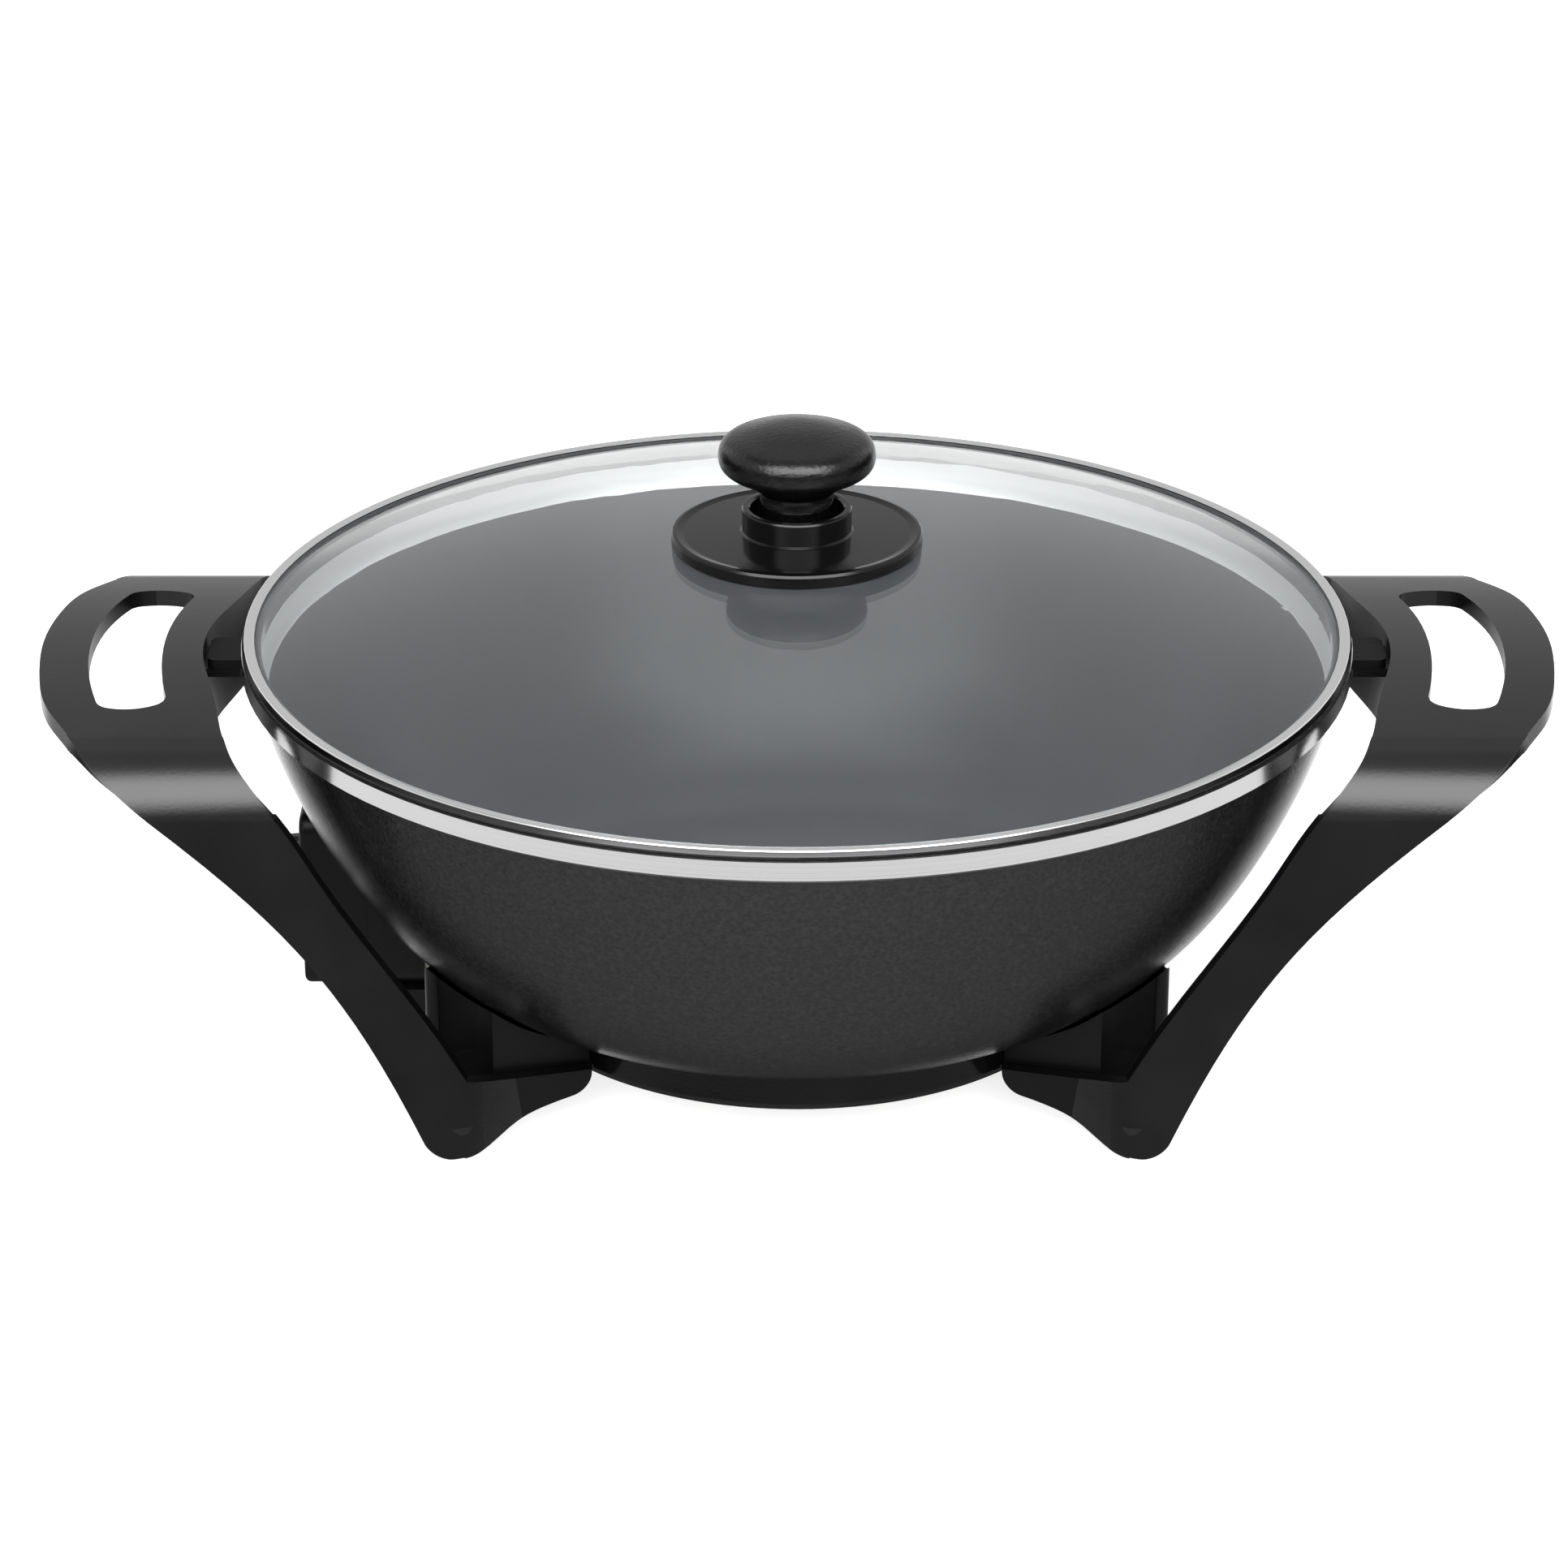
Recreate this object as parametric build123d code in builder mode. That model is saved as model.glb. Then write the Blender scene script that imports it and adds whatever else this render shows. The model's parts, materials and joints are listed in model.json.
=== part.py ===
from build123d import *
import math
import os

# Round deep electric skillet: a cast bowl with a domed glass lid, carried by two mouldings that
# are handle and legs in one, with a heated base and a plug-in temperature control on the left.
# Origin: on the floor under the centre of the bowl. +Z up, +X to the right, -Y to the front.

os.makedirs("parts", exist_ok=True)

# ---- driving dimensions (mm) ----
rim_radius = 165.0          # outside of the bowl's rim and of the lid's steel band
rim_top = 130.0             # top of the lid's steel band
seat_height = 125.1         # rebate in the bowl's rim that the lid stands in
seat_radius = 164.0
rim_lip = 126.75            # top of the bowl's rim outside the rebate
base_radius = 87.5          # flat underside of the bowl
base_height = 23.0
floor_height = 30.0         # cooking surface

element_radius = 70.0
element_height = 22.5
tube_radius = 3.3
pin_radius = 2.3
pin_spacing = 17.0
pin_height = element_height
probe_height = 21.5
probe_radius = 2.3

ring_radius = 88.0
ring_bottom = 10.5
ring_wall = 3.2

sheet_thickness = 5.0       # moulded sheet of the handles and legs
plate_top = 123.0           # top of the handle in the middle
plate_end = (62.0, 118.5)   # where the arched plate starts to bend down, in Y and Z
bend_end = (80.67, 100.5)   # where the leg leaves the bend
bend_center = (58.79, 96.48)
bend_radius = 22.25
toe_end = (99.6, -3.0)      # the leg's line, carried on below the floor and cut by its outline

yoke_side = 109.0           # outer side wall of the yoke
yoke_front = 72.0
yoke_bottom = 13.0
yoke_wall = 2.5
bowl_clearance = 1.2
control_clearance = 3.2

toe_center = (99.0, 90.0)
pad_radius = 5.5

control_outer = -149.5      # face with the dial
control_split = -130.0
control_inner = -113.0      # face towards the bowl
control_half_width = 17.0
control_bottom = 16.0
control_top = 72.0
control_wall = 2.2
dial_height = 44.0
dial_radius = 14.5
shaft_radius = 3.0
lamp_height = 22.5
gland_center = (-140.0, 27.0)   # X and Z of the cord's entry in the back wall
cord_bore = 3.6

glass_top = 155.0
glass_thickness = 3.0
knob_radius = 23.25
knob_center = 182.0

# Outside of the bowl from its underside to its rim, as radius and height.
bowl_outline = [(base_radius, base_height), (108.4, 32), (128.6, 50), (147.6, 80), (159.6, 110),
                (162.4, 120.5)]
# Inside of the bowl from the cooking surface to the lid's seat.
bowl_inside = [(80, floor_height), (105.8, 36.6), (126.0, 53.2), (144.4, 82), (156.2, 110.6),
               (158.8, 120.5)]


def finish(part, name):
    """Label a finished piece and write its STEP file."""
    part.part.label = name
    export_step(part.part, "parts/" + name + ".step")


# ---- bowl ----
def bowl_envelope(clearance):
    """The bowl's outside, moved outwards and down: what its neighbours have to stay clear of."""
    shift = clearance * math.sqrt(0.5)
    with BuildPart() as envelope:
        with BuildSketch(Plane.XZ):
            with BuildLine():
                edge = Spline(*[(x + shift, z - shift) for x, z in bowl_outline])
                Polyline(edge @ 1, (0, bowl_outline[-1][1]), (0, base_height - shift), edge @ 0)
            make_face()
        revolve(axis=Axis.Z)
    return envelope.part


yoke_envelope = bowl_envelope(bowl_clearance)
control_envelope = bowl_envelope(control_clearance)

lug_reach = 175.5
lug_half_width = 9.0
lug_bottom = 117.6
lug_thickness = 2.8
lug_hole_depth = 2.1
handle_screw_x = 170.0
boss_ring_radius = 45.0
clamp_screw_radius = 56.0
clamp_angles = [0, 110, 250]
screw_core = 1.9

with BuildPart() as pan_body:
    with BuildSketch(Plane.XZ):
        with BuildLine():
            edge = Spline(*bowl_outline)
            Polyline(edge @ 1, (rim_radius - 0.8, 120.5), (rim_radius, 121.3),
                     (rim_radius, rim_lip), (seat_radius, rim_lip), (seat_radius, seat_height),
                     (0, seat_height), (0, base_height), edge @ 0)
        make_face()
    revolve(axis=Axis.Z)
    # Lugs under the rim that the handles are screwed to.
    with BuildSketch(Plane.XY.offset(lug_bottom)):
        Rectangle(2 * lug_reach, 2 * lug_half_width)
        fillet(vertices(), 3)
    extrude(amount=lug_thickness)
    # Bosses for the heat shield's screws and pads for the element's clamps.
    with BuildSketch(Plane.XY.offset(13.1)):
        with PolarLocations(boss_ring_radius, 3, 60):
            Circle(5)
    extrude(amount=12)
    with BuildSketch(Plane.XY.offset(19.2)):
        for angle in clamp_angles:
            with PolarLocations(clamp_screw_radius, 1, angle):
                Circle(4.5)
    extrude(amount=6)
    # Cooking hollow.
    with BuildSketch(Plane.XZ):
        with BuildLine():
            edge = Spline(*bowl_inside, tangents=[(1, 0), (0.15, 1)])
            Polyline(edge @ 1, (158.8, seat_height + 1), (0, seat_height + 1), (0, floor_height),
                     edge @ 0)
        make_face()
    revolve(axis=Axis.Z, mode=Mode.SUBTRACT)
    # Groove that the heating element is pressed into, and the recess round its cold ends.
    with BuildSketch(Plane.XZ):
        with Locations((element_radius, element_height)):
            Circle(tube_radius + 0.15)
    revolve(axis=Axis.Z, mode=Mode.SUBTRACT)
    with BuildSketch(Plane.XY.offset(18)):
        with Locations((-71.5, 0)):
            Rectangle(51, 40)
    extrude(amount=8.2, mode=Mode.SUBTRACT)
    # Screw holes.
    with BuildSketch(Plane.XY.offset(13)):
        with PolarLocations(boss_ring_radius, 3, 60):
            Circle(screw_core)
        for angle in clamp_angles:
            with PolarLocations(clamp_screw_radius, 1, angle):
                Circle(screw_core)
    extrude(amount=13.6, mode=Mode.SUBTRACT)
    with BuildSketch(Plane.XY.offset(lug_bottom)):
        with Locations((-handle_screw_x, 0), (handle_screw_x, 0)):
            Circle(screw_core)
    extrude(amount=lug_hole_depth, mode=Mode.SUBTRACT)
finish(pan_body, "pan_body")

# ---- heater ----
cold_end = -88.0
turn_radius = 10.0
half_spacing = pin_spacing / 2
turn_y = half_spacing + turn_radius
turn_x = -math.sqrt((element_radius + turn_radius) ** 2 - turn_y ** 2)
ring_angle = math.degrees(math.atan2(turn_y, turn_x))
turn_angle = math.degrees(math.atan2(-turn_x, turn_y))

with BuildPart() as heating_element:
    # Half of the ring, the turn at its end, and the straight cold end; then the same mirrored.
    with BuildSketch(Plane.XZ):
        with Locations((element_radius, element_height)):
            Circle(tube_radius)
    revolve(axis=Axis.Z, revolution_arc=-ring_angle)
    with BuildSketch(Plane.YZ.offset(turn_x)):
        with Locations((-half_spacing, element_height)):
            Circle(tube_radius)
    revolve(axis=Axis((turn_x, -turn_y, 0), (0, 0, 1)), revolution_arc=-turn_angle)
    with BuildSketch(Plane.YZ.offset(cold_end)):
        with Locations((-half_spacing, element_height)):
            Circle(tube_radius)
    extrude(amount=turn_x - cold_end)
    mirror(about=Plane.XZ)
finish(heating_element, "heating_element")

pin_tip = -121.0
with BuildPart() as terminal_pins:
    with BuildSketch(Plane.YZ.offset(pin_tip)):
        with Locations((-half_spacing, pin_height), (half_spacing, pin_height)):
            Circle(pin_radius)
    extrude(amount=cold_end - pin_tip)
    chamfer(faces().filter_by(Plane.YZ).group_by(Axis.X)[0].edges(), 0.9)
finish(terminal_pins, "terminal_pins")

bush_outer = 4.4
with BuildPart() as pin_insulators:
    with BuildSketch(Plane.YZ.offset(-104.3)):
        with Locations((-half_spacing, pin_height), (half_spacing, pin_height)):
            Circle(3.6)
            Circle(pin_radius + 0.05, mode=Mode.SUBTRACT)
    extrude(amount=4.3)
    with BuildSketch(Plane.YZ.offset(-105.6)):
        with Locations((-half_spacing, pin_height), (half_spacing, pin_height)):
            Circle(bush_outer)
            Circle(pin_radius + 0.05, mode=Mode.SUBTRACT)
    extrude(amount=1.5)
finish(pin_insulators, "pin_insulators")

well_mouth = -101.0
well_end = -50.0
well_bore = probe_radius + 0.4
with BuildPart() as probe_well:
    with BuildSketch(Plane.YZ.offset(well_mouth)):
        with Locations((0, probe_height)):
            Circle(well_bore + 0.8)
    extrude(amount=well_end - well_mouth)
    fillet(faces().filter_by(Plane.YZ).group_by(Axis.X)[-1].edges(), 1.5)
    with BuildSketch(Plane.YZ.offset(well_mouth)):
        with Locations((0, probe_height)):
            Circle(well_bore)
    extrude(amount=well_end - well_mouth - 1, mode=Mode.SUBTRACT)
finish(probe_well, "probe_well")

clamp_bottom = element_height - tube_radius - 1.25
with BuildPart() as element_clamps:
    with BuildSketch(Plane.XY.offset(clamp_bottom)):
        for angle in clamp_angles:
            with PolarLocations(64, 1, angle):
                RectangleRounded(25, 10, 2)
            with PolarLocations(clamp_screw_radius, 1, angle):
                Circle(screw_core + 0.2, mode=Mode.SUBTRACT)
    extrude(amount=1.2)
finish(element_clamps, "element_clamps")


def screws(plane, positions, head_radius, head_height, shank_radius, length):
    """Pan-head screws: heads below the plane, shanks along its normal, with a cross recess."""
    with BuildPart() as group:
        with BuildSketch(plane.offset(-head_height)):
            with Locations(*positions):
                Circle(head_radius)
        extrude(amount=head_height)
        fillet(group.faces().sort_by(Axis(plane.origin, plane.z_dir))[0:len(positions)].edges(),
               head_height * 0.45)
        with BuildSketch(plane):
            with Locations(*positions):
                Circle(shank_radius)
        extrude(amount=length)
        with BuildSketch(plane.offset(-head_height)):
            with Locations(*positions):
                Rectangle(head_radius * 1.1, head_radius * 0.28)
                Rectangle(head_radius * 0.28, head_radius * 1.1)
        extrude(amount=head_height * 0.5, mode=Mode.SUBTRACT)
    return group


def polar_points(radius, angles):
    """Points on a circle round the Z axis, from their angles in degrees."""
    return [(radius * math.cos(math.radians(a)), radius * math.sin(math.radians(a)))
            for a in angles]


clamp_screws = screws(Plane.XY.offset(clamp_bottom), polar_points(clamp_screw_radius, clamp_angles),
                      3.4, 2.0, screw_core - 0.05, 8.0)
finish(clamp_screws, "clamp_screws")

# ---- base ----
ear_angles = [161.2, 198.8, -18.8, 18.8]
ear_radius = 99.3
with BuildPart() as base_ring:
    with BuildSketch(Plane.XZ):
        with BuildLine():
            Polyline((ring_radius, 22.8), (ring_radius, 13), (ring_radius - 0.6, 11.2),
                     (ring_radius - 2.2, ring_bottom), (78, ring_bottom), (78, 12),
                     (ring_radius - ring_wall, 12), (ring_radius - ring_wall, 22.8), close=True)
        make_face()
    revolve(axis=Axis.Z)
    # Ears that the yokes are screwed to.
    with BuildSketch(Plane.XY.offset(ring_bottom + 0.1)):
        with Locations(*[Location((x, y, 0), (0, 0, 1), a) for (x, y), a in
                         zip(polar_points(95.5, ear_angles), ear_angles)]):
            RectangleRounded(20, 11, 3)
        with Locations(*polar_points(ear_radius, ear_angles)):
            Circle(2.2, mode=Mode.SUBTRACT)
        Circle(ring_radius - 1, mode=Mode.SUBTRACT)
    extrude(amount=2.3)
    # Notch for the element's pins and the probe's well.
    with BuildSketch(Plane.XY.offset(17.2)):
        with Locations((-ring_radius, 0)):
            Rectangle(12, 26)
    extrude(amount=8, mode=Mode.SUBTRACT)
finish(base_ring, "base_ring")

with BuildPart() as heat_shield:
    with BuildSketch(Plane.XY.offset(12.05)):
        Circle(ring_radius - ring_wall - 0.3)
        with PolarLocations(boss_ring_radius, 3, 60):
            Circle(screw_core + 0.3, mode=Mode.SUBTRACT)
    extrude(amount=1.0)
    # Pressed stiffening bead.
    with BuildSketch(Plane.XZ):
        with BuildLine():
            Polyline((58, 13.05), (60, 13.9), (64, 13.9), (66, 13.05), (66, 12.05), (63.6, 12.9),
                     (60.4, 12.9), (58, 12.05), close=True)
        make_face()
    revolve(axis=Axis.Z)
finish(heat_shield, "heat_shield")

shield_screws = screws(Plane.XY.offset(12.05), polar_points(boss_ring_radius, [60, 180, 300]),
                       3.8, 2.2, screw_core - 0.05, 12.0)
finish(shield_screws, "shield_screws")

ring_screws = screws(Plane.XY.offset(ring_bottom + 0.1), polar_points(ear_radius, ear_angles),
                     3.6, 2.2, screw_core - 0.05, 10.5)
finish(ring_screws, "ring_screws")

# ---- yokes: blocks beside the base that stand between the legs ----
yoke_outline = [(-50, -55.1), (-88.5, -83.7), (-88.5, -yoke_front), (-yoke_side, -yoke_front),
                (-yoke_side, yoke_front), (-88.5, yoke_front), (-88.5, 83.7), (-50, 55.1)]
lug_screw = (84.0, 73.0)        # where a leg's lug is screwed to the yoke


def yoke(with_socket):
    """The left yoke: a tray under the bowl, with or without the opening for the control."""
    with BuildPart() as tray:
        with BuildSketch(Plane.XY.offset(yoke_bottom)):
            Polygon(*yoke_outline, align=None)
            fillet(vertices().group_by(Axis.X)[0], 5)
        extrude(amount=50)
        with BuildSketch(Plane.XY.offset(yoke_bottom + yoke_wall)):
            Polygon(*yoke_outline, align=None)
            fillet(vertices().group_by(Axis.X)[0], 5)
            offset(amount=-yoke_wall, kind=Kind.INTERSECTION)
        extrude(amount=50, mode=Mode.SUBTRACT)
        # Bosses for the screws of the legs' lugs and of the ring's ears.
        with BuildSketch(Plane.XY.offset(yoke_bottom)):
            with Locations((-lug_screw[0], -lug_screw[1]), (-lug_screw[0], lug_screw[1])):
                Circle(4)
            with Locations(*polar_points(ear_radius, ear_angles[:2])):
                Circle(4)
        extrude(amount=10.5)
        # Shallow framed panel in each end wall.
        for side in (-1, 1):
            with BuildSketch(Plane.XZ.offset(side * yoke_front)):
                with Locations((-99.5, 36)):
                    RectangleRounded(11, 28, 2)
            extrude(amount=-side * 0.9, mode=Mode.SUBTRACT)
        with BuildSketch(Plane.XY):
            Circle(ring_radius + 0.3)
        extrude(amount=60, mode=Mode.SUBTRACT)
        add(yoke_envelope, mode=Mode.SUBTRACT)
        with BuildSketch(Plane.XY.offset(yoke_bottom)):
            with Locations((-lug_screw[0], -lug_screw[1]), (-lug_screw[0], lug_screw[1])):
                Circle(screw_core)
            with Locations(*polar_points(ear_radius, ear_angles[:2])):
                Circle(screw_core)
        extrude(amount=9, mode=Mode.SUBTRACT)
        if with_socket:
            with BuildSketch(Plane.YZ.offset(-yoke_side - 1)):
                with Locations((0, 22.5)):
                    Rectangle(35.4, 12.6)
            extrude(amount=6, mode=Mode.SUBTRACT)
    return tray


yoke_left = yoke(True)
finish(yoke_left, "yoke_left")
plain_yoke = yoke(False)
with BuildPart() as yoke_right:
    add(plain_yoke.part, rotation=(0, 0, 180))
finish(yoke_right, "yoke_right")

# Guard round the power pins and the mouth of the probe's well, with a shelf under the control.
shroud_mouth = -111.4
shroud_depth = 10.0
shelf_reach = 17.0
shelf_top = 15.4
shelf_bottom = 7.0
with BuildPart() as socket_shroud:
    with BuildSketch(Plane.YZ.offset(shroud_mouth)):
        with Locations((0, element_height)):
            RectangleRounded(35, 12.2, 1.5)
    extrude(amount=shroud_depth)
    with BuildSketch(Plane.XY.offset(shelf_bottom)):
        with Locations((shroud_mouth + 2 - shelf_reach / 2, 0)):
            Rectangle(shelf_reach, 35)
            fillet(vertices().group_by(Axis.X)[0], 3)
    extrude(amount=shelf_top - shelf_bottom)
    with BuildSketch(Plane.XY.offset(shelf_bottom)):
        with Locations((shroud_mouth + 2 - shelf_reach / 2, 0)):
            Rectangle(shelf_reach - 4.4, 35 - 4.4)
    extrude(amount=shelf_top - shelf_bottom - 2.2, mode=Mode.SUBTRACT)
    # Web between the guard and the shelf.
    with BuildSketch(Plane.YZ.offset(shroud_mouth)):
        with Locations((0, shelf_top)):
            Rectangle(30, 4)
    extrude(amount=2)
    with BuildSketch(Plane.YZ.offset(shroud_mouth)):
        with Locations((0, element_height)):
            RectangleRounded(30.6, 10.0, 1)
    extrude(amount=shroud_depth - 2.4, mode=Mode.SUBTRACT)
    with BuildSketch(Plane.YZ.offset(-105)):
        with Locations((-half_spacing, pin_height), (half_spacing, pin_height)):
            Circle(3.65)
        with Locations((0, probe_height)):
            Circle(well_bore + 0.85)
    extrude(amount=6, mode=Mode.SUBTRACT)
    add(yoke_envelope, mode=Mode.SUBTRACT)
finish(socket_shroud, "socket_shroud")

# ---- handles: carrying loop, two legs and two arms in one moulding ----
plan_outer = [(-224.8, 0), (-223.0, -24), (-218.2, -45), (-209.4, -62)]
plan_inner = [(-165.3, -62), (-168.6, -46), (-172.6, -28), (-176.8, 0)]
# Round the bend: angle from the plate towards the leg, and the two edges' X.
bend_outline = [(4, -210.6, -165.8), (20, -207.2, -163.8), (36, -203.2, -161.2),
                (50, -198.8, -157.7), (65, -192.8, -153.4), (80, -186.0, -149.3),
                (84, -183.8, -148.0)]
leg_outer = [(-186.3, 100.5), (-176.9, 93), (-164.5, 82.6), (-141.7, 59.8), (-125.2, 37),
             (-113.3, 15.7), (-108, 5)]
leg_inner = [(-95.7, 23.5), (-107, 41), (-125, 65), (-137.4, 82.6), (-144.0, 93),
             (-149.5, 100.5)]
arm_start = -95.7           # where the leg's face turns into the arm's
arm_under = [(-99, 0.8), (-90, 2.4), (-81, 7.0), (-73, 8.2), (-66, 8.2)]
arm_end = -60.5
arm_top = 14.6
arm_tip = (-58, 66.5)       # end of the arm's front face, in plan
arm_thickness = 3.5
fold_radius = 16.0
leg_lug = [(-93, 68.5), (-79, 68.5), (-79, 81.3), (-93, 92.0)]   # joins the back of the arm
tongue_thickness = 2.6
skirt_bottom = 92.0
skirt_wall = 3.0
hole_end = 44.0

with BuildPart() as handle_cutter:
    # The plate is cut straight down.
    with BuildSketch(Plane.XY.offset(plate_end[1] - 12)):
        with BuildLine():
            front_outer = Spline(*plan_outer, tangents=[(0, -1), (0.5, -1)])
            front_inner = Spline(*plan_inner, tangents=[(-0.28, 1), (0, 1)])
            Line(front_outer @ 1, front_inner @ 0)
            mirror(about=Plane.XZ)
        make_face()
    extrude(amount=30)
    # Round the bends the cut stays square to the sheet.
    for side in (-1, 1):
        for angle, outer_x, inner_x in bend_outline:
            turn = math.radians(angle)
            across = Plane(origin=(0, side * bend_center[0], bend_center[1]), x_dir=(1, 0, 0),
                           z_dir=(0, -math.cos(turn), side * math.sin(turn)))
            with BuildSketch(across):
                Polygon((outer_x, bend_radius - 8), (inner_x, bend_radius - 8),
                        (inner_x, bend_radius + 2), (outer_x, bend_radius + 2), align=None)
        loft()
    # The legs are cut from the front.
    with BuildSketch(Plane.XZ):
        with BuildLine():
            outer = Spline(*leg_outer)
            ThreePointArc(leg_outer[-1], (-104.6, 1.9), arm_under[0])
            Polyline(arm_under[0], (arm_start, 1.0), leg_inner[0])
            inner = Spline(*leg_inner)
            Line(inner @ 1, outer @ 0)
        make_face()
    extrude(amount=110, both=True)

with BuildPart() as arm_cutter:
    with BuildSketch(Plane.XZ):
        with BuildLine():
            Spline(*arm_under)
            ThreePointArc(arm_under[-1], (-62.2, 9.6), (arm_end, 13))
            Polyline((arm_end, 13), (arm_end, arm_top), leg_inner[0], (-99, leg_inner[0][1]),
                     arm_under[0])
        make_face()
    extrude(amount=110, both=True)


def leg_face(height):
    """Distance in Y of the leg's front face from the middle, at a height."""
    share = (bend_end[1] - height) / (bend_end[1] - toe_end[1])
    return bend_end[0] + share * (toe_end[0] - bend_end[0])


def arm_section(height, side):
    """Plan of an arm at a height: its face meets the leg's face where the leg turns inwards."""
    start = (arm_start, leg_face(height))
    back = (0.61 * arm_thickness, 0.79 * arm_thickness)
    points = [start, arm_tip, (arm_tip[0] - back[0], arm_tip[1] - back[1]),
              (start[0] - back[0], start[1] - back[1])]
    return Polygon(*[(x, side * y) for x, y in points], align=None)


def fold_points(height, side):
    """Plan at a height of what rounding the fold between leg and arm takes away.

    The first point is the middle of the rounding, the rest go round outside it."""
    corner = Vector(arm_start, leg_face(height))
    along_leg = Vector(-1, 0)
    along_arm = (Vector(*arm_tip) - corner).normalized()
    inward = (along_leg + along_arm).normalized()
    half_turn = math.acos(along_arm.X) / 2
    reach = fold_radius * math.tan(half_turn)
    points = [corner + inward * (fold_radius / math.cos(half_turn) - fold_radius),
              corner + along_arm * reach, corner + along_arm * reach - inward * 2,
              corner - inward * 2, corner + along_leg * reach - inward * 2,
              corner + along_leg * reach]
    return [(point.X, side * point.Y) for point in points]


# Arms that turn inwards from the toes to the base ring.
with BuildPart() as arms:
    for side in (-1, 1):
        for height in (0, 26):
            with BuildSketch(Plane.XY.offset(height)):
                arm_section(height, side)
        loft(ruled=True)
    add(arm_cutter.part, mode=Mode.INTERSECT)

with BuildPart() as handle_left:
    # Bent sheet: arched plate on top, bends at both ends, legs down to the floor.
    with BuildSketch(Plane.YZ.offset(-230)):
        with BuildLine():
            plate = ThreePointArc((-plate_end[0], plate_end[1]), (0, plate_top), plate_end)
            for side in (-1, 1):
                bend = TangentArc((side * plate_end[0], plate_end[1]),
                                  (side * bend_end[0], bend_end[1]),
                                  tangent=(plate % (0.5 + side * 0.5)) * side)
                Line(bend @ 1, (side * toe_end[0], toe_end[1]))
            offset(amount=sheet_thickness, side=Side.RIGHT)
        make_face()
    extrude(amount=180)
    add(handle_cutter.part, mode=Mode.INTERSECT)
    add(arms.part)
    # Rounded fold between leg and arm.
    for side in (-1, 1):
        for height in (-1, 34):
            with BuildSketch(Plane.XY.offset(height)):
                middle, *around = fold_points(height, side)
                with BuildLine():
                    Polyline(*around)
                    ThreePointArc(around[-1], middle, around[0])
                make_face()
        loft(ruled=True, mode=Mode.SUBTRACT)
    # Finger hole.
    with BuildSketch(Plane.XY.offset(plate_end[1] - 12)):
        with BuildLine():
            ThreePointArc((-203.4, -hole_end), (-210.4, 0), (-203.4, hole_end))
            ThreePointArc((-203.4, hole_end), (-194, hole_end + 2), (-183.6, hole_end - 3))
            ThreePointArc((-183.6, hole_end - 3), (-188.6, 0), (-183.6, 3 - hole_end))
            ThreePointArc((-183.6, 3 - hole_end), (-194, -hole_end - 2), (-203.4, -hole_end))
        make_face()
        fillet(vertices(), 5.5)
    extrude(amount=30, mode=Mode.SUBTRACT)
    # Skirt under the inner edge of the plate.
    with BuildSketch(Plane.XY.offset(skirt_bottom)):
        with BuildLine():
            near = Spline(*plan_inner, tangents=[(-0.28, 1), (0, 1)])
            far = Spline(*[(x - skirt_wall, y) for x, y in plan_inner],
                         tangents=[(-0.28, 1), (0, 1)])
            Line(near @ 0, far @ 0)
            mirror(about=Plane.XZ)
        make_face()
        with Locations((-165, 0)):
            Rectangle(60, 100, mode=Mode.INTERSECT)
    extrude(amount=plate_top - sheet_thickness + 0.5 - skirt_bottom)
    # Tongue under the bowl's lug.
    with BuildSketch(Plane.XY.offset(lug_bottom - tongue_thickness)):
        with Locations((-172.5, 0)):
            Rectangle(14, 2 * lug_half_width)
        with Locations((-handle_screw_x, 0)):
            Circle(screw_core + 0.3, mode=Mode.SUBTRACT)
    extrude(amount=tongue_thickness - 0.05)
    # Toe bosses with pockets for the pads, and lugs for the screws into the yoke.
    for side in (-1, 1):
        with BuildSketch(Plane.XY.offset(0.8)):
            with Locations((-toe_center[0], side * toe_center[1])):
                Circle(7.3)
        extrude(amount=9)
        with BuildSketch(Plane.XY.offset(9.4)):
            Polygon(*[(x, side * y) for x, y in leg_lug], align=None)
            with Locations((-lug_screw[0], side * lug_screw[1])):
                Circle(screw_core + 0.3, mode=Mode.SUBTRACT)
        extrude(amount=3.5)
        with BuildSketch(Plane.XY):
            with Locations((-toe_center[0], side * toe_center[1])):
                Circle(pad_radius + 0.05)
        extrude(amount=3, mode=Mode.SUBTRACT)
    with BuildSketch(Plane.XY):
        Circle(ring_radius + 0.3)
    extrude(amount=60, mode=Mode.SUBTRACT)
finish(handle_left, "handle_left")

# The same moulding turned round serves the other side.
with BuildPart() as handle_right:
    add(handle_left.part, rotation=(0, 0, 180))
finish(handle_right, "handle_right")

handle_screw_points = [(-handle_screw_x, 0), (handle_screw_x, 0)]
handle_screws = screws(Plane.XY.offset(lug_bottom - tongue_thickness), handle_screw_points, 3.6,
                       2.2, screw_core - 0.05, 4.4)
finish(handle_screws, "handle_screws")

leg_screw_points = [(x, y) for x in (-lug_screw[0], lug_screw[0])
                    for y in (-lug_screw[1], lug_screw[1])]
leg_screws = screws(Plane.XY.offset(9.4), leg_screw_points, 3.6, 2.2, screw_core - 0.05, 12.0)
finish(leg_screws, "leg_screws")

with BuildPart() as foot_pads:
    with BuildSketch(Plane.XY):
        with GridLocations(2 * toe_center[0], 2 * toe_center[1], 2, 2):
            Circle(pad_radius)
    extrude(amount=2.9)
    chamfer(faces().filter_by(Plane.XY).group_by(Axis.Z)[0].edges(), 0.6)
finish(foot_pads, "foot_pads")

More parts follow.
